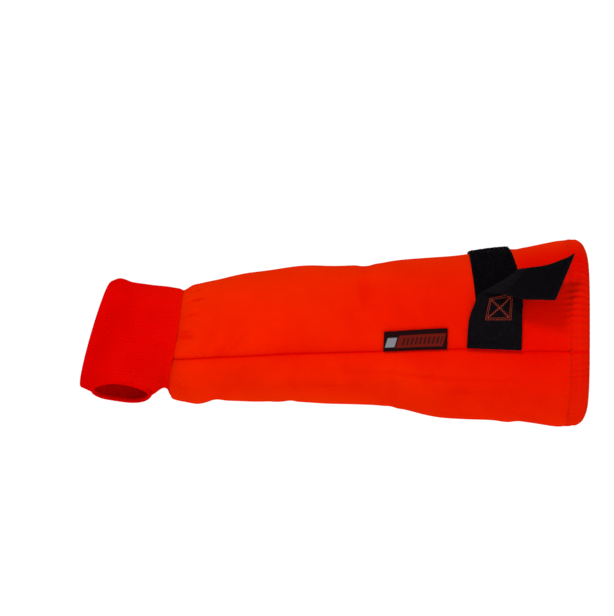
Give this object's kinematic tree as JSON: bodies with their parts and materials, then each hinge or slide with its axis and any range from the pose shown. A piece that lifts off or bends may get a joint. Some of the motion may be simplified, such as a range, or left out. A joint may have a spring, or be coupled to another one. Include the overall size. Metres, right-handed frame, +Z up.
{
  "type": "chainsaw arm protector",
  "caption": "Padded hi-vis forearm sleeve with a knitted cuff and thumb hole, a gathered elbow hem and a hook-and-loop strap lifted open.",
  "frame": {"origin": "on the arm's axis at the wrist seam, where the padded sleeve joins the knitted cuff", "axes": "+X along the arm towards the elbow, +Z up, -Y faces the side with the strap and the label"},
  "size_m": [0.4048, 0.1359, 0.1482],
  "materials": {
    "upper_panel": "matte woven",
    "lower_panel": "matte woven",
    "knit_cuff": "matte knit",
    "elbow_hem": "matte woven",
    "loop_strip": "matte pile",
    "fastening_strap": "matte woven",
    "hook_tape": "matte hooks",
    "seam_label": "satin woven"
  },
  "bodies": {
    "root": {"upper_panel": "upper_panel", "lower_panel": "lower_panel", "knit_cuff": "knit_cuff", "elbow_hem": "elbow_hem", "loop_strip": "loop_strip", "fastening_strap": "fastening_strap", "hook_tape": "hook_tape", "seam_label": "seam_label"}
  },
  "joints": []
}
